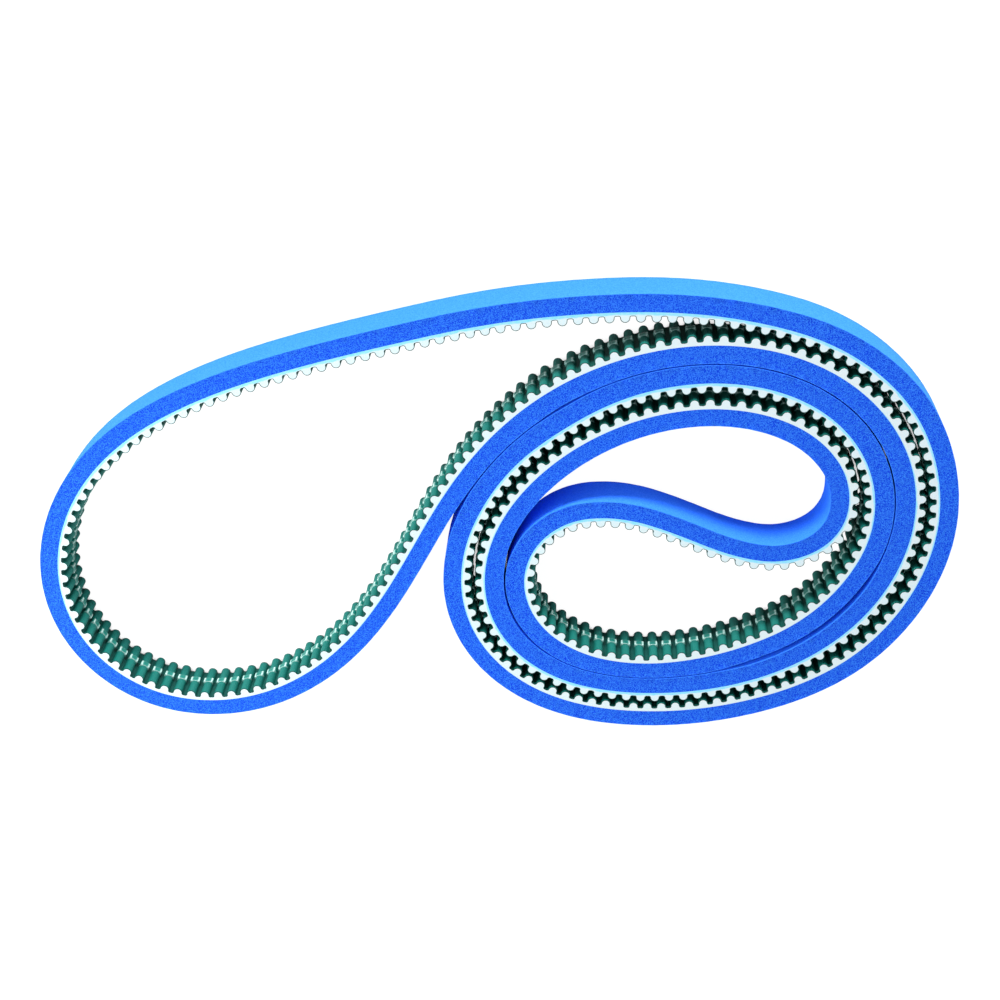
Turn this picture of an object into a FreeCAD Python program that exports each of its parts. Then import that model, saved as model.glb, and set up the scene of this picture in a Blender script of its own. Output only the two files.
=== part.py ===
import FreeCAD, Part
import math
import os
from FreeCAD import Vector

# Long endless timing belt, 8 mm round-tooth profile, lying on its edge in a
# doubled coil with one free loop.  Lengths in mm, +Z up, belt width along Z,
# lower edge on z = 0.
#
# The cord line is a closed planar curve, and every layer is an offset of it:
# y is measured from the cord line, positive to the left of the direction of
# travel.  The foam lies on the left and the teeth point to the right.
# A station is a length of belt from the start of the cord line.  The free loop
# is divided into short links that turn about axes on the cord line; the coil
# is the rest of the belt.

os.makedirs("parts", exist_ok=True)

doc = FreeCAD.newDocument("TimingBelt")

# ---------------------------------------------------------------- dimensions
DIMENSIONS = [
    ("tooth_pitch", 8.0),
    ("tooth_count", 382),
    ("belt_width", 25.0),
    ("tooth_height", 3.45),
    ("land_thickness", 2.2),        # valley surface to the polyurethane back
    ("cord_line_height", 0.9),      # valley surface to the cord line
    ("fabric_thickness", 0.35),
    ("tip_radius", 2.55),
    ("root_radius", 0.8),
    ("foam_thickness", 9.7),
    ("cord_diameter", 0.8),
    ("cord_pairs", 6),
    ("cord_spacing", 1.9),
    ("band_width", 4.0),
    ("band_low_edge", "=(belt_width - band_width) / 2"),
    ("band_rise", 0.35),            # above the tooth tips
    ("band_half_length", 2.85),     # along the belt, from the tooth centre
    ("band_corner", 0.9),
    ("band_skin", 0.12),            # thickness in the valleys
    ("link_teeth", 10),
    ("link_count", 7),
    ("closing_teeth", 2),
    ("coil_lengths", 4),
    ("flex_limit", 7.0),            # degrees, at a joint with a share of 1
    ("flex_margin", 0.6),           # degrees
    ("half_gap", 0.15),
]
sheet = doc.addObject("Spreadsheet::Sheet", "Dimensions")
for row, (alias, value) in enumerate(DIMENSIONS, start=1):
    sheet.set("A%d" % row, alias)
    sheet.set("B%d" % row, str(value))
    sheet.setAlias("B%d" % row, alias)
doc.recompute()


def dim(alias):
    return float(getattr(sheet, alias))


PITCH = dim("tooth_pitch")
TEETH = int(dim("tooth_count"))
WIDTH = dim("belt_width")
TOOTH_HEIGHT = dim("tooth_height")
FABRIC = dim("fabric_thickness")
TIP_RADIUS = dim("tip_radius")
ROOT_RADIUS = dim("root_radius")
BAND_SKIN = dim("band_skin")
HALF_GAP = dim("half_gap")
LENGTH = PITCH * TEETH
Y_LAND = -dim("cord_line_height")           # fabric surface in the valleys
Y_BACK = Y_LAND + dim("land_thickness")     # back of the polyurethane
Y_OUT = Y_BACK + dim("foam_thickness")      # outer face of the foam

RELAXATIONS = 80            # sweeps that solve the closed spline
STRAIGHT_ARC = 1e-9         # half angle or curvature of a straight piece
STRAIGHT_EDGE = 1e-6        # curvature below which an edge is drawn as a line
SHORTEST_EDGE = 0.02        # shorter end pieces join the neighbouring arc

# turning share of each joint of the free loop, first joint at station 0
JOINT_SHARES = [0.9354, 0.2414, -0.7759, -0.5843, 0.3256, 1.0, -0.2564, -0.8858]

# control points (x, y) of the cord line, equally spaced along it
PATH = [
    (-60.325, -48.651), (-78.552, -74.720), (-101.191, -97.012), (-128.616, -112.973),
    (-159.576, -119.700), (-190.846, -114.932), (-217.295, -97.686), (-234.145, -70.951),
    (-238.835, -39.674), (-232.144, -8.696), (-216.452, 18.883), (-194.097, 41.440),
    (-167.464, 58.805), (-138.626, 72.253), (-108.662, 82.991), (-78.172, 92.145),
    (-47.431, 100.419), (-16.534, 108.091), (14.722, 114.106), (46.323, 117.923),
    (78.101, 119.748), (109.905, 118.713), (141.363, 113.959), (171.780, 104.709),
    (199.033, 88.459), (220.719, 65.303), (234.145, 36.586), (238.910, 5.208),
    (234.388, -26.186), (221.513, -55.206), (201.601, -79.925), (175.709, -98.285),
    (146.356, -110.496), (115.377, -117.690), (83.647, -119.776), (52.095, -116.012),
    (22.798, -103.913), (-0.297, -82.299), (-12.767, -53.265), (-12.514, -21.633),
    (-1.654, 8.168), (16.748, 34.044), (41.056, 54.493), (68.511, 70.544),
    (98.910, 79.635), (130.644, 80.792), (161.277, 72.694), (186.810, 54.045),
    (202.026, 26.400), (203.304, -5.135), (191.215, -34.360), (170.191, -58.113),
    (142.957, -74.383), (112.793, -84.433), (81.207, -87.565), (50.343, -80.623),
    (26.740, -59.956), (21.520, -29.305), (39.635, -4.187), (70.389, 1.076),
    (100.942, -7.571), (130.616, -19.073), (162.016, -21.967), (187.935, -4.984),
    (191.499, 25.629), (174.063, 51.715), (145.868, 65.941), (114.332, 69.306),
    (83.083, 63.724), (54.127, 50.668), (28.976, 31.267), (9.217, 6.419),
    (-2.272, -23.104), (-1.668, -54.688), (12.963, -82.620), (38.522, -101.181),
    (69.229, -109.074), (101.018, -109.493), (132.396, -104.357), (162.184, -93.291),
    (188.654, -75.746), (209.840, -52.109), (223.590, -23.521), (228.547, 7.805),
    (222.937, 38.973), (206.972, 66.337), (183.092, 87.200), (154.113, 100.116),
    (122.716, 104.854), (91.045, 102.281), (60.574, 93.243), (32.480, 78.377),
    (7.848, 58.286), (-12.823, 34.120), (-29.887, 7.264), (-44.873, -20.823),
]


# ----------------------------------------------------------------- cord line
# An arc is (start point, start tangent, length, curvature), positive
# curvature turning left.

def left_of(direction):
    return Vector(-direction.y, direction.x, 0)


def spline_tangents(points):
    """Unit tangents, at the points, of the closed cubic spline through them."""
    count = len(points)
    second = [Vector(0, 0, 0)] * count
    for _ in range(RELAXATIONS):
        for k in range(count):
            following = (k + 1) % count
            change = (points[following] - points[k] * 2.0 + points[k - 1]) * 6.0
            second[k] = (change - second[k - 1] - second[following]) * 0.25
    tangents = []
    for k in range(count):
        following = (k + 1) % count
        slope = points[following] - points[k]
        slope = slope - (second[k] * 2.0 + second[following]) * (1.0 / 6.0)
        tangents.append(slope * (1.0 / slope.Length))
    return tangents


def arc_between(start, tangent, end):
    """Arc that leaves start along the tangent and finishes at end."""
    chord = end - start
    half_angle = math.atan2(left_of(tangent).dot(chord), tangent.dot(chord))
    curvature = 2.0 * math.sin(half_angle) / chord.Length
    length = chord.Length
    if abs(half_angle) >= STRAIGHT_ARC:
        length *= half_angle / math.sin(half_angle)
    return start, tangent, length, curvature


def on_arc(arc, distance):
    """Point and unit tangent at a distance from the start of the arc."""
    start, tangent, _, curvature = arc
    side = left_of(tangent)
    angle = distance * curvature
    sine, cosine = math.sin(angle), math.cos(angle)
    if abs(curvature) < STRAIGHT_ARC:
        point = start + tangent * distance
    else:
        point = start + tangent * (sine / curvature) + side * ((1.0 - cosine) / curvature)
    return point, tangent * cosine + side * sine


def arc_pair(start, start_tangent, end, end_tangent):
    """Two arcs from start to end, tangent at both ends and to each other."""
    chord = end - start
    along = chord.dot(start_tangent + end_tangent)
    spread = 2.0 * (1.0 - start_tangent.dot(end_tangent))
    square = chord.dot(chord)
    if spread < 1e-12:      # parallel tangents: the quadratic is linear
        reach = square / (4.0 * chord.dot(end_tangent))
    else:
        reach = (math.sqrt(along ** 2 + spread * square) - along) / spread
    middle = (start + end + (start_tangent - end_tangent) * reach) * 0.5
    first = arc_between(start, start_tangent, middle)
    middle_tangent = on_arc(first, first[2])[1]
    return [first, arc_between(middle, middle_tangent, end)]


KNOTS = [Vector(x, y, 0) for x, y in PATH]
TANGENTS = spline_tangents(KNOTS)
ARCS = []
for k in range(len(KNOTS)):
    following = (k + 1) % len(KNOTS)
    ARCS += arc_pair(KNOTS[k], TANGENTS[k], KNOTS[following], TANGENTS[following])
STARTS = [0.0]              # distance to the start of each arc, then the total
for arc in ARCS:
    STARTS.append(STARTS[-1] + arc[2])
TOTAL = STARTS[-1]


def distance_at(station):
    """Distance along the arcs, whose total stands for the belt length."""
    return station * TOTAL / LENGTH


def on_cord(distance):
    """Point, unit tangent and curvature of the cord line."""
    index = max(k for k, start in enumerate(STARTS[:-1]) if start <= distance)
    arc = ARCS[index]
    point, tangent = on_arc(arc, distance - STARTS[index])
    return point, tangent, arc[3]


def at_station(station):
    return on_cord(distance_at(station % LENGTH))


# --------------------------------------------------------------------- sides
# A side is (curves, first point, last point).

def offset_curve(arc, begin, end, y):
    """Curve at height y beside the arc, between two distances on the arc."""
    start, start_tangent = on_arc(arc, begin)
    finish, finish_tangent = on_arc(arc, end)
    first = start + left_of(start_tangent) * y
    last = finish + left_of(finish_tangent) * y
    curvature = arc[3]
    if abs(curvature) < STRAIGHT_EDGE:
        return Part.LineSegment(first, last), first, last
    centre = start + left_of(start_tangent) * (1.0 / curvature)
    spoke = first - centre
    angle = math.atan2(spoke.y, spoke.x)
    angles = sorted([angle, angle + (end - begin) * curvature])
    circle = Part.Circle(centre, Vector(0, 0, 1), spoke.Length)
    return Part.ArcOfCircle(circle, *angles), first, last


def smooth_side(start, end, y, start_gap=HALF_GAP, end_gap=HALF_GAP):
    """Side at height y, short of both stations by gaps on the cord line."""
    current = distance_at(start) + start_gap
    stop = distance_at(end) - end_gap
    pieces = []
    for low, high, arc in zip(STARTS, STARTS[1:], ARCS):
        if high <= current:
            continue
        reach = stop if high > stop - SHORTEST_EDGE else high
        if reach - current > SHORTEST_EDGE or reach == stop:
            pieces.append(offset_curve(arc, current - low, reach - low, y))
            current = reach
        if reach == stop:
            break
    return [piece[0] for piece in pieces], pieces[0][1], pieces[-1][2]


def toothed_side(start, end, profile, y):
    """Side with a profile on every tooth, its ends at height y."""
    ends = []
    for distance in (distance_at(start) + HALF_GAP, distance_at(end) - HALF_GAP):
        point, tangent, _ = on_cord(distance)
        ends.append(point + left_of(tangent) * y)
    curves = []
    current = ends[0]
    for tooth in range(round(start / PITCH), round(end / PITCH)):
        centre, tangent, _ = at_station(PITCH * (tooth + 0.5))
        side = left_of(tangent)
        pieces = [[centre + tangent * x + side * (Y_LAND - height) for x, height in piece]
                  for piece in profile]
        curves.append(Part.LineSegment(current, pieces[0][0]))
        for points in pieces:
            make = Part.Arc if len(points) == 3 else Part.LineSegment
            curves.append(make(*points))
        current = pieces[-1][-1]
    curves.append(Part.LineSegment(current, ends[1]))
    return curves, ends[0], ends[1]


def closed_curves(side, other):
    """Curves of both sides and of the two straight cuts that join them."""
    curves, first, last = side
    other_curves, other_first, other_last = other
    return (curves + [Part.LineSegment(last, other_last)]
            + other_curves + [Part.LineSegment(other_first, first)])


def face_between(side, other):
    edges = [curve.toShape() for curve in closed_curves(side, other)]
    wire = Part.Wire(Part.__sortEdges__(edges))
    return Part.makeFace([wire], "Part::FaceMakerSimple")


# ------------------------------------------------------------ tooth profiles
# A profile is a list of pieces, two points for a line and three for an arc.
# Points are (x, height): x along the belt from the tooth centre, height from
# the fabric surface in the valleys towards the tip.

RADII = TIP_RADIUS + ROOT_RADIUS
TIP_CENTRE = TOOTH_HEIGHT - TIP_RADIUS
ROOT_X = math.sqrt(RADII ** 2 - (TIP_CENTRE - ROOT_RADIUS) ** 2)


def fillet_middle(radius, x, height):
    """Middle of the root arc at -x, given the +x arc's end as seen from its centre."""
    angle = math.atan2(height, x)
    if angle > 0:
        angle -= 2 * math.pi
    middle = 0.5 * (angle - math.pi / 2)
    return -(ROOT_X + radius * math.cos(middle)), ROOT_RADIUS + radius * math.sin(middle)


def symmetric_profile(rise, crown=()):
    """Rise on the -x side, a piece across through the crown, and the mirrored rise."""
    fall = [[(-x, height) for x, height in reversed(piece)] for piece in reversed(rise)]
    return rise + [[rise[-1][-1], *crown, fall[0][0]]] + fall


def tooth_profile(inset):
    """Round tooth between root fillets, inset into the belt."""
    tip = TIP_RADIUS - inset
    root = ROOT_RADIUS + inset
    across = ROOT_X / RADII
    down = (ROOT_RADIUS - TIP_CENTRE) / RADII
    foot = (-ROOT_X, ROOT_RADIUS - root)
    flank = (-across * tip, TIP_CENTRE + down * tip)
    rise = [[foot, fillet_middle(root, -across, -down), flank]]
    return symmetric_profile(rise, [(0, TIP_CENTRE + tip)])


def band_profile():
    """Flat-topped tooth of the centre band, with rounded corners."""
    half = dim("band_half_length")
    corner = dim("band_corner")
    top = TOOTH_HEIGHT + dim("band_rise")
    root = ROOT_RADIUS - BAND_SKIN
    inward = ROOT_X - half
    drop = math.sqrt(root ** 2 - inward ** 2)
    foot = (-half, ROOT_RADIUS - drop)
    shoulder = (-half, top - corner)
    cut = corner * (1 - math.sqrt(0.5))
    return symmetric_profile([
        [(-ROOT_X, BAND_SKIN), fillet_middle(root, -inward, -drop), foot],
        [foot, shoulder],
        [shoulder, (-(half - cut), top - cut), (-(half - corner), top)],
    ])


FABRIC_OUTSIDE = tooth_profile(0.0)
FABRIC_INSIDE = tooth_profile(FABRIC)
BAND_OUTSIDE = band_profile()


# -------------------------------------------------------------------- pieces
def extrusion(name, face, length_alias):
    outline = doc.addObject("Part::Feature", name + "_outline")
    outline.Shape = face
    solid = doc.addObject("Part::Extrusion", name)
    solid.Label = name
    solid.Base = outline
    solid.DirMode = "Custom"
    solid.Dir = Vector(0, 0, 1)
    solid.Solid = True
    solid.setExpression("LengthFwd", "Dimensions." + length_alias)
    return solid


def belt_body(name, start, end):
    """Polyurethane from the inside of the fabric to the back."""
    teeth = toothed_side(start, end, FABRIC_INSIDE, Y_LAND + FABRIC)
    back = smooth_side(start, end, Y_BACK)
    return extrusion(name, face_between(teeth, back), "belt_width")


def tooth_fabric(name, start, end):
    outside = toothed_side(start, end, FABRIC_OUTSIDE, Y_LAND)
    inside = toothed_side(start, end, FABRIC_INSIDE, Y_LAND + FABRIC)
    return extrusion(name, face_between(outside, inside), "belt_width")


def centre_band(name, start, end):
    """Raised band on the fabric, halfway up the belt width."""
    outside = toothed_side(start, end, BAND_OUTSIDE, Y_LAND - BAND_SKIN)
    inside = toothed_side(start, end, FABRIC_OUTSIDE, Y_LAND)
    band = extrusion(name, face_between(outside, inside), "band_width")
    band.setExpression(".Placement.Base.z", "Dimensions.band_low_edge")
    return band


def foam_cover(name, start, end, start_wedge, end_wedge):
    """Foam on the back, its ends cut back outwards by the wedge angles."""
    def outer_gap(station, wedge):
        # the gap is measured on the outer face, so it is carried to the cord line
        curvature = at_station(station)[2]
        gap = HALF_GAP + Y_OUT * math.tan(math.radians(wedge))
        return gap / (1.0 - curvature * Y_OUT)

    body = doc.addObject("PartDesign::Body", name)
    body.Label = name
    sketch = body.newObject("Sketcher::SketchObject", name + "_sketch")
    plane = next(f for f in body.Origin.OriginFeatures if f.Name.startswith("XY_Plane"))
    sketch.AttachmentSupport = [(plane, "")]
    sketch.MapMode = "FlatFace"
    inner = smooth_side(start, end, Y_BACK)
    outer = smooth_side(start, end, Y_OUT,
                        outer_gap(start, start_wedge), outer_gap(end, end_wedge))
    sketch.addGeometry(closed_curves(inner, outer), False)
    pad = body.newObject("PartDesign::Pad", name + "_pad")
    pad.Profile = sketch
    pad.setExpression("Length", "Dimensions.belt_width")
    body.Tip = pad
    return body


def tension_cords(name, start, end):
    """Evenly spaced cords, each a square section of the round cord's area."""
    half = dim("cord_diameter") * math.sqrt(math.pi) / 4
    count = 2 * int(dim("cord_pairs"))
    face = face_between(smooth_side(start, end, -half), smooth_side(start, end, half))
    solids = []
    for i in range(count):
        z = WIDTH / 2 + (i - (count - 1) / 2) * dim("cord_spacing")
        solid = face.extrude(Vector(0, 0, 2 * half))
        solid.translate(Vector(0, 0, z - half))
        solids.append(solid)
    cords = doc.addObject("Part::Feature", name)
    cords.Label = name
    cords.Shape = Part.makeCompound(solids)
    return cords


# ---------------------------------------------------------------------- runs
def joint_wedge(joint):
    """Angle in degrees that the foam is cut back on each side of a joint."""
    return (abs(JOINT_SHARES[joint]) * dim("flex_limit") + dim("flex_margin")) / 2


def belt_runs():
    """(label, start station, end station, start wedge, end wedge) of each run."""
    link = PITCH * dim("link_teeth")
    links = int(dim("link_count"))
    runs = [("link_%d" % (i + 1), i * link, (i + 1) * link, joint_wedge(i), joint_wedge(i + 1))
            for i in range(links)]

    # short closing link between the last joint and the coil
    free = link * links
    coil_start = free + PITCH * dim("closing_teeth")
    runs.append(("link_%d" % (links + 1), free, coil_start, joint_wedge(links), 0.0))

    # the coil is divided at whole teeth and ends at the first joint
    lengths = int(dim("coil_lengths"))
    first = round(coil_start / PITCH)
    cuts = [PITCH * (first + (TEETH - first) * i // lengths) for i in range(lengths + 1)]
    for i in range(lengths):
        end_wedge = joint_wedge(0) if i == lengths - 1 else 0.0
        runs.append(("coil_%d" % (i + 1), cuts[i], cuts[i + 1], 0.0, end_wedge))
    return runs


made = []
for label, start, end, start_wedge, end_wedge in belt_runs():
    made += [
        belt_body("belt_body_" + label, start, end),
        tooth_fabric("tooth_fabric_" + label, start, end),
        centre_band("centre_band_" + label, start, end),
        foam_cover("foam_cover_" + label, start, end, start_wedge, end_wedge),
        tension_cords("tension_cords_" + label, start, end),
    ]

doc.recompute()

# -------------------------------------------------------------------- export
for obj in doc.Objects:
    states = [str(state) for state in obj.State]
    if "Invalid" in states or "Error" in states:
        raise RuntimeError("object in error: " + obj.Name + " " + repr(states))
for obj in made:
    shape = obj.Shape
    if shape.isNull() or not shape.isValid() or not shape.Solids:
        raise RuntimeError("bad shape: " + obj.Label)
    shape.exportStep("parts/" + obj.Label + ".step")
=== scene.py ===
"""A coiled toothed belt standing on its edge: polyurethane teeth under fabric, foam on the back.

The belt's cord line lies in the XY plane and its width rises along +Z from z = 0.
Belt shapes are worked out in mm. "along" is a station on the cord line; "height" is measured
from the cord line, positive to the left of travel, where the foam is. "rise" is measured the
other way, from the valleys between the teeth. Lights, floor and camera are in metres.
"""
import math

import bpy
import numpy as np
from mathutils import Matrix, Vector


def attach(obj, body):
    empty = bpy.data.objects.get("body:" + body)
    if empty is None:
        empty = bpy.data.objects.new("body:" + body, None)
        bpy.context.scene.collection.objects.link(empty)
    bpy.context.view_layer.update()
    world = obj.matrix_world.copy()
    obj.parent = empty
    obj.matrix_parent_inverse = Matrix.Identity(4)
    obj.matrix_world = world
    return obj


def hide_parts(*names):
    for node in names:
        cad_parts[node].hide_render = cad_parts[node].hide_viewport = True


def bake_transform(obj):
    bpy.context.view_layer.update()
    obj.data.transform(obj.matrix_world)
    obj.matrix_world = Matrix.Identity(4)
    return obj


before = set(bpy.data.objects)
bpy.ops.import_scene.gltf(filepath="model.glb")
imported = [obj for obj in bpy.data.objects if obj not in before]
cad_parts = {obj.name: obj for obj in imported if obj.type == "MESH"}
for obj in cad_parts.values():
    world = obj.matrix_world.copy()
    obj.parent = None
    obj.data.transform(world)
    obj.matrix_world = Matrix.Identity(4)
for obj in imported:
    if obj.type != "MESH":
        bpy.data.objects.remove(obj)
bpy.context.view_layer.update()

# ---------------------------------------------------------------- sizes, mm
MM_PER_M = 1000.0
PITCH, TEETH, WIDTH = 8.0, 382, 25.0
LENGTH = PITCH * TEETH
TOOTH_RISE = 3.45
LAND_THICKNESS = 2.2    # polyurethane between the valleys and the foam
CORD_DEPTH = 0.9        # from the valleys to the cord line
FABRIC_THICKNESS = 0.35
FABRIC_GAP = 0.015      # fabric and body each stop this far from their shared surface
FOAM_THICKNESS = 9.7
LAND_Y = -CORD_DEPTH
BACK_Y = LAND_THICKNESS - CORD_DEPTH
SKIN_Y = BACK_Y + FOAM_THICKNESS
TIP_RADIUS, ROOT_RADIUS = 2.55, 0.8
BAND_WIDTH = 4.0
BAND_LOW, BAND_HIGH = (WIDTH - BAND_WIDTH) / 2, (WIDTH + BAND_WIDTH) / 2
LINK = 80.0             # belt length of one moving link
HALF_LINK = LINK / 2
LINKS = 8
FREE_END = 576.0        # station of the closing cut
CUT_GAP = 0.012         # each cut face stands back this far

# control points (x, y) of the cord line, equally spaced along it
PATH = np.array([
    (-60.325, -48.651), (-78.552, -74.720), (-101.191, -97.012), (-128.616, -112.973),
    (-159.576, -119.700), (-190.846, -114.932), (-217.295, -97.686), (-234.145, -70.951),
    (-238.835, -39.674), (-232.144, -8.696), (-216.452, 18.883), (-194.097, 41.440),
    (-167.464, 58.805), (-138.626, 72.253), (-108.662, 82.991), (-78.172, 92.145),
    (-47.431, 100.419), (-16.534, 108.091), (14.722, 114.106), (46.323, 117.923),
    (78.101, 119.748), (109.905, 118.713), (141.363, 113.959), (171.780, 104.709),
    (199.033, 88.459), (220.719, 65.303), (234.145, 36.586), (238.910, 5.208),
    (234.388, -26.186), (221.513, -55.206), (201.601, -79.925), (175.709, -98.285),
    (146.356, -110.496), (115.377, -117.690), (83.647, -119.776), (52.095, -116.012),
    (22.798, -103.913), (-0.297, -82.299), (-12.767, -53.265), (-12.514, -21.633),
    (-1.654, 8.168), (16.748, 34.044), (41.056, 54.493), (68.511, 70.544),
    (98.910, 79.635), (130.644, 80.792), (161.277, 72.694), (186.810, 54.045),
    (202.026, 26.400), (203.304, -5.135), (191.215, -34.360), (170.191, -58.113),
    (142.957, -74.383), (112.793, -84.433), (81.207, -87.565), (50.343, -80.623),
    (26.740, -59.956), (21.520, -29.305), (39.635, -4.187), (70.389, 1.076),
    (100.942, -7.571), (130.616, -19.073), (162.016, -21.967), (187.935, -4.984),
    (191.499, 25.629), (174.063, 51.715), (145.868, 65.941), (114.332, 69.306),
    (83.083, 63.724), (54.127, 50.668), (28.976, 31.267), (9.217, 6.419),
    (-2.272, -23.104), (-1.668, -54.688), (12.963, -82.620), (38.522, -101.181),
    (69.229, -109.074), (101.018, -109.493), (132.396, -104.357), (162.184, -93.291),
    (188.654, -75.746), (209.840, -52.109), (223.590, -23.521), (228.547, 7.805),
    (222.937, 38.973), (206.972, 66.337), (183.092, 87.200), (154.113, 100.116),
    (122.716, 104.854), (91.045, 102.281), (60.574, 93.243), (32.480, 78.377),
    (7.848, 58.286), (-12.823, 34.120), (-29.887, 7.264), (-44.873, -20.823),
])


# ---------------------------------------------------------------- cord line
def path_tangents():
    """unit tangents of the closed cubic spline through PATH"""
    after = np.roll(PATH, -1, axis=0)
    second = np.zeros_like(PATH)
    for _ in range(80):
        for k in range(len(PATH)):
            pull = 6.0 * (after[k] - 2.0 * PATH[k] + PATH[k - 1])
            second[k] = (pull - second[k - 1] - second[(k + 1) % len(PATH)]) / 4.0
    tangents = after - PATH - (np.roll(second, -1, axis=0) + 2.0 * second) / 6.0
    return tangents / np.linalg.norm(tangents, axis=1)[:, None]


def arc(start, tangent, end):
    """an arc as (x, y, tangent x, tangent y, curvature, length)"""
    span = end - start
    chord = math.hypot(*span)
    half_turn = math.atan2(tangent[0] * span[1] - tangent[1] * span[0],
                           tangent[0] * span[0] + tangent[1] * span[1])
    curvature = 2.0 * math.sin(half_turn) / chord
    straight = abs(half_turn) < 1e-9
    length = chord if straight else chord * half_turn / math.sin(half_turn)
    return (*start, *tangent, curvature, length)


def cord_line():
    """two tangent arcs between each pair of control points, and where each arc starts"""
    tangents = path_tangents()
    arcs = []
    for k in range(len(PATH)):
        following = (k + 1) % len(PATH)
        start, end = PATH[k], PATH[following]
        leave, arrive = tangents[k], tangents[following]
        span, both = end - start, leave + arrive
        spread = 2.0 * (1.0 - leave @ arrive)
        if spread < 1e-12:
            handle = (span @ span) / (4.0 * (span @ arrive))
        else:
            root = math.sqrt((span @ both) ** 2 + spread * (span @ span))
            handle = (-(span @ both) + root) / spread
        joint = (start + end + handle * (leave - arrive)) / 2.0
        first = arc(start, leave, joint)
        turn = first[4] * first[5]
        sine, cosine = math.sin(turn), math.cos(turn)
        middle = np.array([leave[0] * cosine - leave[1] * sine,
                           leave[0] * sine + leave[1] * cosine])
        arcs += [first, arc(joint, middle, end)]
    arcs = np.array(arcs)
    return arcs, np.r_[0.0, np.cumsum(arcs[:, 5])]


ARCS, ARC_STARTS = cord_line()


def station(along):
    """points and unit tangents of the cord line"""
    target = np.mod(along, LENGTH) * ARC_STARTS[-1] / LENGTH
    index = np.searchsorted(ARC_STARTS, target, side="right") - 1
    index = np.clip(index, 0, len(ARCS) - 1)
    x, y, tangent_x, tangent_y, curvature, _ = np.moveaxis(ARCS[index], -1, 0)
    curvature = np.where(np.abs(curvature) < 1e-9, 1e-9, curvature)
    turn = (target - ARC_STARTS[index]) * curvature
    sine, cosine = np.sin(turn), np.cos(turn)
    ahead, aside = sine / curvature, (1.0 - cosine) / curvature
    points = np.stack([x + tangent_x * ahead - tangent_y * aside,
                       y + tangent_y * ahead + tangent_x * aside], -1)
    tangents = np.stack([tangent_x * cosine - tangent_y * sine,
                         tangent_x * sine + tangent_y * cosine], -1)
    return points, tangents


def left_of(tangents):
    return np.stack([-tangents[..., 1], tangents[..., 0]], -1)


def offset(along, height):
    """points at a height from the cord line"""
    points, tangents = station(along)
    return points + left_of(tangents) * np.asarray(height)[..., None]


# ---------------------------------------------------------------- tooth outlines
# An outline is one pitch of (x, rise); x is 0 at the crest and -PITCH / 2 in the valley.
TIP_RISE = TOOTH_RISE - TIP_RADIUS      # centre of the tip arc, at x = 0
ROOT_X = math.sqrt((TIP_RADIUS + ROOT_RADIUS) ** 2 - (TIP_RISE - ROOT_RADIUS) ** 2)
LINE_STEPS = (0.35, 0.7, 1.0)           # fractions at which a straight line is divided


def whole(half):
    """one pitch from a half outline; its last point belongs to the next pitch"""
    return np.vstack([half, half[::-1][1:-1] * np.array([-1.0, 1.0])])


def arc_points(x, rise, radius, angles):
    return [(x + radius * math.cos(angle), rise + radius * math.sin(angle)) for angle in angles]


def tooth_outline(inset):
    """a round tip on two root arcs, sunk below the belt's surface by inset"""
    centres = TIP_RADIUS + ROOT_RADIUS
    across, down = ROOT_X / centres, (ROOT_RADIUS - TIP_RISE) / centres
    root_end = math.atan2(-down, across)
    tip_start = math.atan2(down, -across) % (2 * math.pi)
    half = [(-PITCH / 2, -inset)]
    half += arc_points(-ROOT_X, ROOT_RADIUS, ROOT_RADIUS + inset,
                       np.linspace(-math.pi / 2, root_end, 7))
    half += arc_points(0.0, TIP_RISE, TIP_RADIUS - inset,
                       np.linspace(tip_start, math.pi / 2, 11)[1:])
    return whole(np.array(half))


def band_outline():
    """a squarer tooth with rounded shoulders, joined by a thin skin in the valleys"""
    half_width, shoulder, skin, proud = 2.85, 0.9, 0.10, 0.35
    top = TOOTH_RISE + proud
    root = ROOT_RADIUS - skin
    foot = ROOT_RADIUS - math.sqrt(root * root - (ROOT_X - half_width) ** 2)
    root_end = math.atan2(foot - ROOT_RADIUS, ROOT_X - half_width)
    half = [(-PITCH / 2, skin), (-ROOT_X, skin)]
    half += arc_points(-ROOT_X, ROOT_RADIUS, root, np.linspace(-math.pi / 2, root_end, 4)[1:])
    half += [(-half_width, foot + (top - shoulder - foot) * step) for step in LINE_STEPS]
    half += arc_points(-half_width + shoulder, top - shoulder, shoulder,
                       np.linspace(math.pi, math.pi / 2, 8)[1:])
    half += [((-half_width + shoulder) * (1 - step), top) for step in LINE_STEPS]
    return whole(np.array(half))


def nearest(points, outline):
    """closest points of the repeated outline to points"""
    shift = [PITCH, 0.0]
    line = np.vstack([outline, outline[:1] + shift])
    line = np.vstack([line - shift, line, line + shift])
    dense = np.vstack([start + (end - start) * step
                       for start, end in zip(line[:-1], line[1:])
                       for step in np.linspace(0, 1, 9)])
    distance = ((points[:, None] - dense[None]) ** 2).sum(-1)
    return dense[distance.argmin(1)]


FABRIC_OUTER = tooth_outline(0.0)
FABRIC_INNER = tooth_outline(FABRIC_THICKNESS - FABRIC_GAP)
BODY_TOOTH = tooth_outline(FABRIC_THICKNESS + FABRIC_GAP)
BAND_OUTER = band_outline()
BAND_FOOT = nearest(BAND_OUTER, FABRIC_OUTER)
BAND_FOOT[0] = (-PITCH / 2, 0.0)


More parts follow.
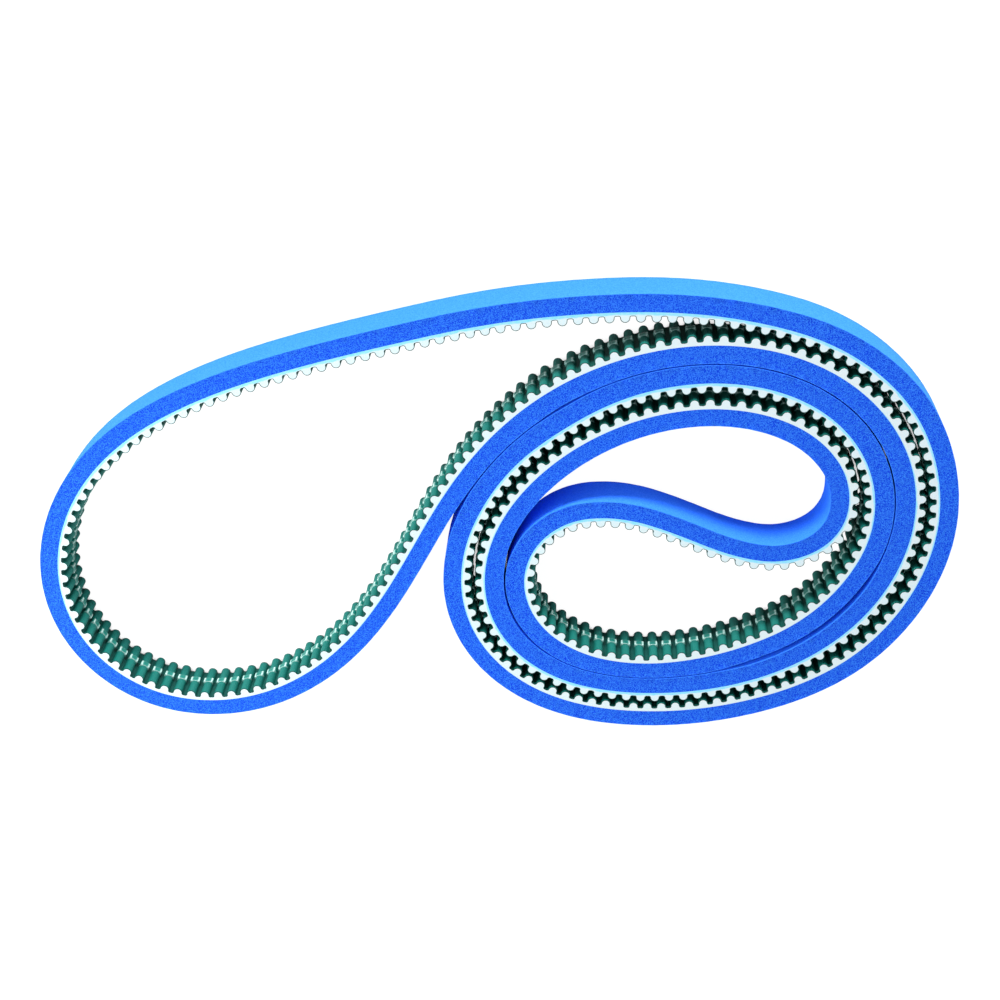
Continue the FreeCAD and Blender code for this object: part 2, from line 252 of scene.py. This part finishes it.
def tooth_line(start, end, outline):
    """plan points, stations and rises of an outline repeated from start to end"""
    first, last = int(round(start / PITCH)), int(round(end / PITCH))
    crests = PITCH * (np.arange(first, last) + 0.5)
    points, tangents = station(crests)
    x, rise = outline.T
    plan = (points[:, None] + tangents[:, None] * x[None, :, None]
            + left_of(tangents)[:, None] * (LAND_Y - rise)[None, :, None])
    along = crests[:, None] + x[None]
    # the middle of each valley is shared by two teeth
    along[:, 0] = crests - PITCH / 2
    plan[:, 0] = offset(along[:, 0], LAND_Y - rise[0])
    plan = np.vstack([plan.reshape(-1, 2), offset(np.array([end]), LAND_Y - rise[0])])
    return plan, np.append(along.ravel(), end), np.append(np.tile(rise, len(crests)), rise[0])


def surface_run(plan, start):
    """distance along the toothed surface itself"""
    return np.r_[0.0, np.cumsum(np.hypot(*np.diff(plan, axis=0).T))] + start


# ---------------------------------------------------------------- mesh helpers
def add_object(name, data):
    made = bpy.data.objects.new(name, data)
    bpy.context.scene.collection.objects.link(made)
    return made


def columns(*parts):
    return np.stack(np.broadcast_arrays(*parts), -1)


def tube_quads(length, around):
    """faces of a closed tube whose points are ordered ring by ring"""
    ring = np.arange(length - 1)[:, None] * around
    side = np.arange(around)[None]
    beside = (side + 1) % around
    corners = [ring + side, ring + around + side, ring + around + beside, ring + beside]
    return np.stack(corners, -1).reshape(-1, 4)


def quad_mesh(name, points, quads, flow, tone=None, sharp=None):
    """a smooth object of quads with the attributes the materials read; sharp is in degrees"""
    mesh = bpy.data.meshes.new(name)
    mesh.vertices.add(len(points))
    mesh.vertices.foreach_set("co", (points / MM_PER_M).astype(np.float32).ravel())
    mesh.loops.add(quads.size)
    mesh.loops.foreach_set("vertex_index", quads.astype(np.int32).ravel())
    mesh.polygons.add(len(quads))
    mesh.polygons.foreach_set("loop_start", (np.arange(len(quads)) * 4).astype(np.int32))
    mesh.update(calc_edges=True)
    mesh.validate()
    attribute = mesh.attributes.new("flow", "FLOAT_VECTOR", "POINT")
    attribute.data.foreach_set("vector", flow.astype(np.float32).ravel())
    if tone is not None:
        attribute = mesh.attributes.new("tone", "FLOAT", "POINT")
        attribute.data.foreach_set("value", tone.astype(np.float32).ravel())
    mesh.shade_smooth()
    if sharp is not None:
        mesh.set_sharp_from_angle(angle=math.radians(sharp))
    return add_object(name, mesh)


class Tube:
    """a closed tube gathered from lines that run along the belt"""

    def __init__(self):
        self.points, self.flow, self.tone = [], [], []

    def add(self, plan, z, flow, tone):
        self.points.append(columns(*plan.T, z))
        self.flow.append(columns(*flow))
        self.tone.append(np.broadcast_to(tone, len(plan)))

    def build(self, name, sharp):
        points = np.stack(self.points, 1)
        return quad_mesh(name, points.reshape(-1, 3), tube_quads(*points.shape[:2]),
                         np.stack(self.flow, 1), np.stack(self.tone, 1), sharp)


def wobble(along, seed, size):
    """slow unevenness that repeats with the belt's length"""
    turn = 2 * math.pi * along / LENGTH
    return size * (np.sin(211 * turn + seed) + np.sin(337 * turn + 2.3 * seed)
                   + np.sin(523 * turn + 4.1 * seed)) / 3.0


def trimmed_stations(start, end, step):
    """evenly spaced stations, standing a hair back from the closing cut"""
    along = np.arange(start, end + step / 2, step)
    if along[0] == FREE_END:
        along[0] += CUT_GAP
    if along[-1] == FREE_END:
        along[-1] -= CUT_GAP
    return along


# ---------------------------------------------------------------- layers of the belt
def foam_press():
    """stations, and extra foam there so that neighbouring strands leave only a fine seam"""
    end_margin, block, same_strand, far = 40.0, 200, 60.0, 99.0
    seam, near, fade = 1.10, 3.0, 0.8
    thinnest, thickest = -0.42, 0.8
    ramp = 25.0
    along = np.arange(FREE_END + end_margin, LENGTH - HALF_LINK - end_margin + 0.5, 1.0)
    skin = offset(along, SKIN_Y)
    gap = np.zeros(len(along))
    for i in range(0, len(along), block):
        part = slice(i, i + block)
        distance = np.sqrt(((skin[part, None] - skin[None]) ** 2).sum(-1))
        distance[np.abs(along[part, None] - along[None]) < same_strand] = far
        gap[part] = distance.min(1)
    extra = np.clip(0.5 * (gap - seam), thinnest, thickest)
    extra = extra * np.clip((near - gap) / fade, 0.0, 1.0)
    window = np.hanning(19)
    extra = np.convolve(np.pad(extra, 8, mode="edge"), window[1:-1] / window.sum(), mode="valid")
    extra = extra * np.clip((along - along[0]) / ramp, 0, 1)
    return along, extra * np.clip((along[-1] - along) / ramp, 0, 1)


FOAM_PRESS = foam_press()


def foam_mesh(name, start, end):
    along = trimmed_stations(start, end, step=1.0)
    press = np.interp(along, *FOAM_PRESS, left=0.0, right=0.0)
    corner = 0.22
    # (height, z) up one cut face and around the corner onto the skin
    side = [(BACK_Y, 0.0), (4.0, 0.0), (7.0, 0.0), (SKIN_Y - corner, 0.0),
            (SKIN_Y - corner * 0.45, corner * 0.16), (SKIN_Y - corner * 0.1, corner * 0.55),
            (SKIN_Y, corner * 1.3)]
    section = side + [(SKIN_Y, z) for z in (4.0, 8.0, 12.5, 17.0, 21.0)]
    section += [(height, WIDTH - z) for height, z in side[::-1]]
    tube = Tube()
    for height, z in section:
        inward, sunk = 0.0, 0.0
        if height > 9.0:
            inward = wobble(along, 1.0 + 0.35 * z, 0.05) - 0.12 - press
        # the cut faces are uneven between the glued back and the skin
        if 3.0 < height < 10.8 and (z < 0.2 or z > 24.8):
            sunk = 0.05 + wobble(along, 3.0 + 0.2 * height, 0.05)
        tube.add(offset(along, height - inward), z + sunk if z < 12 else z - sunk,
                 flow=(along, z, height), tone=(height - BACK_Y) / FOAM_THICKNESS)
    return tube.build(name, sharp=32.0)


def body_mesh(name, start, end):
    toothed, along, rise = tooth_line(start, end, BODY_TOOTH)
    facing = station(along)[1][:, 0]
    side_heights = (0.1, 0.75, BACK_Y)
    tube = Tube()

    def add(plan, height, z):
        tube.add(plan, z, flow=(along, height, facing), tone=height)

    for height in side_heights[::-1]:
        add(offset(along, height), height, 0.0)
    for z in (0.0, 8.0, 17.0, WIDTH):
        add(toothed, LAND_Y - rise, z)
    for height in side_heights:
        add(offset(along, height), height, WIDTH)
    return tube.build(name, sharp=32.0)


def fabric_mesh(name, start, end):
    outer, along, outer_rise = tooth_line(start, end, FABRIC_OUTER)
    inner, _, inner_rise = tooth_line(start, end, FABRIC_INNER)
    run = surface_run(outer, start)
    fray = wobble(along * 3.1, 1.7, 0.04) + 0.05
    hem = 0.25
    tube = Tube()

    def add(plan, rise, z, drop=0.0):
        tube.add(plan, z - drop, flow=(run, z, rise), tone=rise / TOOTH_RISE)

    add(inner, inner_rise, 0.0)
    for z in (0.0, hem, 3.0, 6.0, 9.0, 12.5, 16.0, 19.0, 22.0, WIDTH - hem):
        add(outer, outer_rise, z)
    # the upper edge is frayed
    add(outer, outer_rise, WIDTH, drop=fray)
    add(inner, inner_rise, WIDTH, drop=fray * 0.5)
    for z in (16.0, 9.0):
        add(inner, inner_rise, z)
    return tube.build(name, sharp=40.0)


def band_mesh(name, start, end):
    skin_rise, bury, corner = 0.9, 0.06, 0.45
    outer, along, rise = tooth_line(start, end, BAND_OUTER)
    foot = tooth_line(start, end, BAND_FOOT)[0]
    buried = tooth_line(start, end, BAND_FOOT - [[0.0, bury]])[0]
    in_valley = (rise < skin_rise)[:, None]
    run = surface_run(outer, start)
    crest = np.clip((rise - skin_rise) / 0.6, 0, 1)
    # painted highlight: a stripe on each shoulder of the tooth, and one along each rim of the
    # band, where the glossy band catches the light
    from_crest = np.abs(np.mod(along, PITCH) - 0.5 * PITCH)
    shoulder = np.exp(-((from_crest - 2.20) / 0.36) ** 2) * np.clip((rise - 3.0) / 0.3, 0, 1)
    rim_highlight_mask = np.clip((rise - 1.8) / 0.8, 0, 1)
    tube = Tube()

    def add(fullness, z):
        # the skin left in the valleys lies pressed into the fabric
        plan = np.where(in_valley, buried, foot + (outer - foot) * fullness)
        rim = 0.42 * math.exp(-(min(z - BAND_LOW, BAND_HIGH - z) - 0.12) ** 2 / 0.04)
        tube.add(plan, z, flow=(run, z, crest),
                 tone=np.clip(np.maximum(shoulder, rim * rim_highlight_mask), 0, 1))

    corner_angles = (-0.35, 0.0, 0.4, 0.8, 1.2, math.pi / 2)
    for angle in corner_angles:
        add(math.sin(angle), BAND_LOW + corner * (1 - math.cos(angle)))
    for z in (11.8, 12.5, 13.2):
        add(1.0, z)
    for angle in corner_angles[::-1]:
        add(math.sin(angle), BAND_HIGH - corner * (1 - math.cos(angle)))
    return tube.build(name, sharp=60.0)


def cord_mesh(name, start, end, first, hand):
    """every second tension cord from first: a fluted rod twisted to one hand"""
    cords, spacing, radius, flutes, lay_length = 12, 1.9, 0.37, 6, 16.0
    along = trimmed_stations(start, end, step=2.0)[:, None]
    flute = np.arange(flutes)
    angle = hand * 2 * math.pi * along / lay_length + 2 * math.pi * flute / flutes
    plan = offset(along, radius * np.cos(angle))
    points, quads, flow = [], [], []
    for i in range(first, cords, 2):
        z = WIDTH / 2 + spacing * (i - (cords - 1) / 2)
        quads.append(tube_quads(len(along), flutes) + len(points) * angle.size)
        points.append(columns(plan[..., 0], plan[..., 1], z + radius * np.sin(angle)))
        flow.append(columns(along, z, flute))
    return quad_mesh(name, np.vstack(points).reshape(-1, 3), np.vstack(quads), np.vstack(flow))


def cord_s_mesh(name, start, end):
    return cord_mesh(name, start, end, first=0, hand=1)


def cord_z_mesh(name, start, end):
    return cord_mesh(name, start, end, first=1, hand=-1)


# ---------------------------------------------------------------- shader helpers
def rgb(*levels):
    """sRGB 0-255 to linear, with alpha"""
    shares = [level / 255.0 for level in levels]
    return tuple(share / 12.92 if share <= 0.04045 else ((share + 0.055) / 1.055) ** 2.4
                 for share in shares) + (1.0,)


def grey(level):
    """linear grey, with alpha"""
    return (level, level, level, 1.0)


def feed(tree, node, inputs):
    """link or set a node's inputs, given by name or number"""
    for key, value in inputs.items():
        if isinstance(value, bpy.types.NodeSocket):
            tree.links.new(value, node.inputs[key])
        else:
            node.inputs[key].default_value = value


def add_node(tree, kind, inputs, **settings):
    node = tree.nodes.new("ShaderNode" + kind)
    for key, value in settings.items():
        setattr(node, key, value)
    feed(tree, node, inputs)
    return node


class Shader:
    """a material on a Principled BSDF; the methods add nodes and return their output"""

    def __init__(self, name):
        self.material = bpy.data.materials.new(name)
        self.material.use_nodes = True
        self.tree = self.material.node_tree
        self.flow = self.node("Attribute", {}, attribute_name="flow").outputs["Vector"]

    def node(self, kind, inputs, **settings):
        return add_node(self.tree, kind, inputs, **settings)

    def tone(self):
        return self.node("Attribute", {}, attribute_name="tone").outputs["Fac"]

    def split(self, vector):
        return self.node("SeparateXYZ", {0: vector}).outputs

    def math(self, operation, *terms, clamp=False):
        return self.node("Math", dict(enumerate(terms)), operation=operation,
                         use_clamp=clamp).outputs[0]

    def add(self, first, second, clamp=False):
        return self.math("ADD", first, second, clamp=clamp)

    def subtract(self, first, second):
        return self.math("SUBTRACT", first, second)

    def multiply(self, first, second, clamp=False):
        return self.math("MULTIPLY", first, second, clamp=clamp)

    def vary(self, base, mask, gain, clamp=False):
        """base + mask * gain"""
        return self.add(base, self.multiply(mask, gain), clamp=clamp)

    def step(self, value, start, slope):
        """0 up to start, then rising to 1"""
        return self.multiply(self.subtract(value, start), slope, clamp=True)

    def noise(self, vector, scale, detail, rough):
        return self.node("TexNoise", {"Vector": vector, "Scale": scale, "Detail": detail,
                                      "Roughness": rough}).outputs["Fac"]

    def ramp(self, mask, stops):
        node = self.node("ValToRGB", {0: mask})
        elements = node.color_ramp.elements
        while len(elements) < len(stops):
            elements.new(0.5)
        for element, (position, colour) in zip(elements, stops):
            element.position = position
            element.color = colour
        return node.outputs[0]

    def contrast(self, mask, black, white):
        return self.ramp(mask, [(black, grey(0.0)), (white, grey(1.0))])

    def mix(self, mask, low, high):
        """low where the mask is 0, high where it is 1"""
        return self.node("Mix", {0: mask, 6: low, 7: high}, data_type="RGBA").outputs[2]

    def tint(self, base, colour, mask, amount):
        return self.mix(self.multiply(mask, amount), low=base, high=colour)

    def bump(self, height, strength, distance):
        return self.node("Bump", {"Strength": strength, "Distance": distance,
                                  "Height": height}).outputs["Normal"]

    def finish(self, inputs):
        feed(self.tree, self.tree.nodes["Principled BSDF"], inputs)
        return self.material


# ---------------------------------------------------------------- materials
def foam_material():
    """blue open-celled foam; flow is (along, z, height)"""
    m = Shader("foam_blue")
    height = m.split(m.flow)[2]
    skin = m.step(height, start=SKIN_Y - 0.25, slope=4.0)
    cells = m.node("TexVoronoi", {"Vector": m.flow, "Scale": 1.6}, feature="F1")
    fine = m.noise(m.flow, scale=1.75, detail=2.0, rough=0.85)
    slow = m.noise(m.flow, scale=0.07, detail=3.0, rough=0.6)
    mottle = m.noise(m.flow, scale=1.6, detail=3.0, rough=0.75)
    speck = m.contrast(fine, black=0.43, white=0.57)
    pit = m.contrast(cells.outputs["Distance"], black=0.04, white=0.40)
    base = m.mix(speck, low=rgb(0, 42, 204), high=rgb(56, 128, 234))
    # painted shade: darker in the cell pits, which the bump also sinks
    base = m.tint(base, rgb(4, 52, 214), mask=m.subtract(1.0, pit), amount=0.45)
    base = m.tint(base, rgb(28, 98, 244), mask=slow, amount=0.30)
    # painted highlight: paler along the outer edge, where the rounded corner catches the light
    edge = m.step(height, start=SKIN_Y - 0.55, slope=2.5)
    base = m.tint(base, rgb(70, 146, 255), mask=edge, amount=0.35)
    skin_colour = m.mix(m.contrast(mottle, black=0.36, white=0.64),
                        low=rgb(38, 112, 242), high=rgb(62, 136, 255))
    relief = m.vary(base=m.multiply(pit, 0.8), mask=fine, gain=0.6)
    # the skin is smoother than the cut faces
    relief = m.multiply(relief, m.subtract(1.0, m.multiply(skin, 0.75)))
    return m.finish({
        "Base Color": m.mix(skin, low=base, high=skin_colour),
        "Normal": m.bump(relief, strength=0.6, distance=0.00020),
        "Roughness": m.vary(base=0.66, mask=fine, gain=0.25),
        "Specular IOR Level": 0.06,
        "Sheen Weight": 0.02,
        "Sheen Roughness": 0.5,
        "Sheen Tint": rgb(120, 190, 255),
    })


def body_material():
    """white polyurethane; flow is (along, height, tangent x), tone is the height"""
    m = Shader("polyurethane_white")
    along, across, facing = m.split(m.flow)
    height = m.tone()
    place = m.node("CombineXYZ", {0: along, 1: across}).outputs[0]
    slow = m.noise(place, scale=0.10, detail=3.0, rough=0.6)
    blot = m.noise(place, scale=0.45, detail=2.0, rough=0.6)
    fine = m.noise(place, scale=2.2, detail=2.0, rough=0.6)
    # painted reflection: a cyan strip under the foam for blue light bounced off the foam, widest
    # where the belt runs towards +X and its foam side faces the key light
    faces_key_light = m.vary(base=0.5, mask=facing, gain=0.5)
    width = m.vary(base=0.25, mask=m.multiply(faces_key_light, slow), gain=3.2)
    painted_foam_reflection = m.step(height, start=m.subtract(BACK_Y, width), slope=1.5)
    painted_foam_reflection = m.multiply(painted_foam_reflection, m.vary(base=0.45, mask=blot, gain=0.7), clamp=True)
    white = m.mix(fine, low=rgb(208, 218, 225), high=rgb(224, 232, 236))
    # painted reflection: a faint cyan tint on the white where the foam side faces the key light
    white = m.tint(white, rgb(190, 236, 250), mask=faces_key_light, amount=0.10)
    relief = m.vary(base=fine, mask=slow, gain=2.0)
    return m.finish({
        "Base Color": m.mix(painted_foam_reflection, low=white, high=rgb(120, 212, 250)),
        "Normal": m.bump(relief, strength=0.25, distance=0.00008),
        "Roughness": m.vary(base=0.40, mask=fine, gain=0.2),
        "Subsurface Weight": 0.2,
        "Subsurface Radius": (0.0010, 0.0014, 0.0016),
        "Subsurface Scale": 0.5,
        "Specular IOR Level": 0.4,
    })


def fabric_material():
    """teal twill; flow is (surface run, z, rise), tone is the rise as a share of the tooth"""
    m = Shader("fabric_teal")
    run, z, _ = m.split(m.flow)
    thread_spacing = 0.42
    diagonal_rate = 0.333
    turns = 2 * math.pi / thread_spacing
    warp_angle = m.multiply(run, turns)
    weft_angle = m.multiply(z, turns)
    crossing = m.multiply(m.math("SINE", warp_angle), m.math("SINE", weft_angle))
    diagonal = m.math("SINE", m.vary(base=m.multiply(warp_angle, diagonal_rate),
                                     mask=weft_angle, gain=diagonal_rate))
    weave = m.vary(base=m.multiply(crossing, 0.5), mask=diagonal, gain=0.5)
    weave_mask = m.add(m.multiply(weave, 0.5), 0.5, clamp=True)
    slow = m.noise(m.flow, scale=0.35, detail=3.0, rough=0.65)
    # painted shade and highlight: dark in the valleys between the teeth, lighter up to the crest
    # where a soft sheen runs
    base = m.ramp(m.tone(), [(0.0, rgb(3, 58, 54)), (0.30, rgb(5, 88, 80)),
                             (0.75, rgb(10, 106, 99)), (1.0, rgb(19, 111, 104))])
    base = m.tint(base, rgb(4, 62, 54), mask=weave_mask, amount=0.35)
    base = m.tint(base, rgb(30, 128, 118), mask=slow, amount=0.30)
    # darker along both cut edges: painted shade at the lower edge, where the fabric meets the
    # floor; the upper edge is darkened alike
    rim = m.math("MAXIMUM", m.subtract(1.0, m.multiply(z, 1.3)),
                 m.subtract(1.0, m.multiply(m.subtract(WIDTH, z), 1.6)), clamp=True)
    relief = m.vary(base=weave, mask=slow, gain=0.4)
    return m.finish({
        "Base Color": m.tint(base, rgb(4, 40, 38), mask=rim, amount=0.75),
        "Normal": m.bump(relief, strength=0.35, distance=0.00005),
        "Roughness": m.vary(base=0.44, mask=weave_mask, gain=0.18),
        "Specular IOR Level": 0.22,
        "Sheen Weight": 0.03,
        "Sheen Tint": rgb(120, 220, 200),
    })


def band_material():
    """glossy green; flow is (surface run, z, crest mask), tone is the painted highlight"""
    m = Shader("band_green")
    crest = m.split(m.flow)[2]
    slow = m.noise(m.flow, scale=0.6, detail=2.0, rough=0.5)
    # painted shade: darker towards the valleys between the teeth
    base = m.mix(crest, low=rgb(3, 56, 50), high=rgb(20, 122, 112))
    base = m.tint(base, rgb(14, 98, 88), mask=slow, amount=0.25)
    # painted highlights on the shoulders and rims
    highlight_amount = m.vary(base=0.55, mask=m.noise(m.flow, scale=1.8, detail=2.0, rough=0.6),
                    gain=0.6, clamp=True)
    relief = m.noise(m.flow, scale=1.4, detail=2.0, rough=0.5)
    crest_rough = m.subtract(0.50, m.multiply(crest, 0.30))
    return m.finish({
        "Base Color": m.tint(base, rgb(216, 244, 240), mask=m.tone(), amount=highlight_amount),
        "Roughness": m.vary(base=crest_rough, mask=slow, gain=0.06),
        "Normal": m.bump(relief, strength=0.2, distance=0.00004),
        "Coat Weight": m.multiply(crest, 0.22),
        "Coat Roughness": 0.15,
        "Specular IOR Level": 0.3,
    })


def cord_material():
    m = Shader("cord_steel")
    grain = m.noise(m.flow, scale=1.2, detail=3.0, rough=0.6)
    return m.finish({
        "Base Color": m.mix(grain, low=rgb(120, 122, 126), high=rgb(176, 178, 180)),
        "Metallic": 1.0,
        "Roughness": m.vary(base=0.28, mask=grain, gain=0.2),
        "Normal": m.bump(grain, strength=0.3, distance=0.00003),
    })


# ---------------------------------------------------------------- pieces
FOAM, BODY, FABRIC, BAND, CORD = [make() for make in (
    foam_material, body_material, fabric_material, band_material, cord_material)]

# name, mesh function, material, slot, CAD piece it replaces
LAYERS = [
    ("foam_cover", foam_mesh, FOAM, "foam", "foam_cover"),
    ("belt_body", body_mesh, BODY, "polyurethane", "belt_body"),
    ("tooth_fabric", fabric_mesh, FABRIC, "tooth_fabric", "tooth_fabric"),
    ("centre_band", band_mesh, BAND, "centre_band", "centre_band"),
    ("cord_s", cord_s_mesh, CORD, "cord", "tension_cords"),
    ("cord_z", cord_z_mesh, CORD, "cord", "tension_cords"),
]


def add_layer(name, make, material, run, start, end):
    piece = make("belt_%s_%s" % (name, run), start, end)
    piece.data.materials.append(material)
    return piece


def add_coil(name, make, material, slot, cad):
    """the long part of the belt that moves as one"""
    piece = add_layer(name, make, material, "coil", FREE_END, LENGTH - HALF_LINK)
    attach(piece, "coil")
    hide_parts(*["%s_coil_%d" % (cad, k) for k in range(1, 5)])


def add_bend(i, name, make, material, slot, cad):
    """a stretch of belt centred on the pivot between link i and the one before it"""
    pivot = LENGTH if i == 1 else LINK * (i - 1)
    end = FREE_END if i == LINKS else pivot + HALF_LINK
    piece = add_layer(name, make, material, "bend_%d" % i, pivot - HALF_LINK, end)
    link = "link_%d" % i
    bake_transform(piece)
    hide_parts("%s_%s" % (cad, link))


for layer in LAYERS:
    add_coil(*layer)
    for i in range(1, LINKS + 1):
        add_bend(i, *layer)


# ---------------------------------------------------------------- floor and world, metres
def floor_material():
    """matt white to the belt; the camera sees a pale glow, with painted shade where it darkens
    in narrow gaps
    """
    material = bpy.data.materials.new("floor_white")
    material.use_nodes = True
    tree = material.node_tree
    matt = tree.nodes["Principled BSDF"]
    feed(tree, matt, {"Base Color": grey(0.72), "Roughness": 0.9, "Specular IOR Level": 0.05})
    pale = add_node(tree, "BsdfDiffuse", {"Color": grey(0.22)})
    # painted shade: the glow dims where ambient occlusion finds narrow gaps
    gap_shade = add_node(tree, "AmbientOcclusion", {"Distance": 0.010}, samples=8)
    strength = add_node(tree, "MapRange", {"Value": gap_shade.outputs["AO"], "From Min": 0.10,
                                           "From Max": 0.24, "To Max": 0.95})
    glow = add_node(tree, "Emission", {"Strength": strength.outputs[0]})
    seen = add_node(tree, "AddShader", {0: pale.outputs[0], 1: glow.outputs[0]})
    rays = add_node(tree, "LightPath", {})
    pick = add_node(tree, "MixShader", {0: rays.outputs["Is Camera Ray"],
                                        1: matt.outputs[0], 2: seen.outputs[0]})
    feed(tree, tree.nodes["Material Output"], {"Surface": pick.outputs[0]})
    return material


def add_floor():
    reach, z = 12.0, -0.0004
    mesh = bpy.data.meshes.new("floor")
    corners = [(-reach, -reach, z), (reach, -reach, z), (reach, reach, z), (-reach, reach, z)]
    mesh.from_pydata(corners, [], [(0, 1, 2, 3)])
    floor = add_object("floor", mesh)
    mesh.materials.append(floor_material())


def set_world():
    """soft light, with a backdrop for the camera as pale as the floor"""
    world = bpy.data.worlds.new("studio")
    bpy.context.scene.world = world
    world.use_nodes = True
    tree = world.node_tree
    light = tree.nodes["Background"]
    feed(tree, light, {"Color": (0.96, 0.98, 1.0, 1.0), "Strength": 0.47})
    backdrop = add_node(tree, "Background", {"Color": grey(1.0), "Strength": 1.0})
    rays = add_node(tree, "LightPath", {})
    pick = add_node(tree, "MixShader", {0: rays.outputs["Is Camera Ray"],
                                        1: light.outputs[0], 2: backdrop.outputs[0]})
    feed(tree, tree.nodes["World Output"], {"Surface": pick.outputs[0]})


add_floor()
set_world()


# ---------------------------------------------------------------- lights
def area(name, place, aim, size, power, colour=(1, 1, 1)):
    light = bpy.data.lights.new(name, "AREA")
    light.shape = "RECTANGLE"
    light.size, light.size_y = size
    light.energy = power
    light.color = colour
    lamp = add_object(name, light)
    lamp.location = place
    lamp.rotation_mode = "QUATERNION"
    lamp.rotation_quaternion = (Vector(aim) - Vector(place)).to_track_quat("-Z", "Y")


WARM, CYAN = (1.0, 1.0, 0.98), (0.82, 1.0, 0.96)
area("key", place=(-0.35, 1.6, 0.34), aim=(0.0, 0.0, 0.01), size=(1.4, 0.3), power=44.0,
     colour=WARM)
area("top", place=(-0.7, 0.2, 1.5), aim=(0.0, 0.0, 0.0), size=(1.2, 1.2), power=1.0)
area("low", place=(-0.30, -0.62, 0.45), aim=(-0.10, -0.12, 0.0), size=(0.9, 0.30), power=2.6,
     colour=CYAN)
area("right", place=(0.78, 0.38, 0.14), aim=(0.22, 0.04, 0.012), size=(0.3, 0.2), power=3.6)
area("left", place=(-0.62, -0.12, 0.42), aim=(-0.2, -0.05, 0.0), size=(0.40, 0.40), power=3.3,
     colour=CYAN)


# ---------------------------------------------------------------- camera
def add_camera():
    lens = bpy.data.cameras.new("camera")
    lens.sensor_width = 36.0
    lens.lens = 61.2
    lens.clip_start, lens.clip_end = 0.05, 50.0
    camera = add_object("camera", lens)
    # the camera's own axes and its place
    right = (0.999004, 0.0, -0.044618, 0.0)
    up = (-0.020425, 0.889073, -0.457312, 0.0)
    backward = (0.039669, 0.457768, 0.888188, 0.0)
    place = (0.04215, 0.43014, 0.8352, 1.0)
    camera.matrix_world = Matrix((right, up, backward, place)).transposed()
    scene = bpy.context.scene
    scene.camera = camera
    scene.view_settings.view_transform = "Standard"
    scene.view_settings.look = "None"


add_camera()
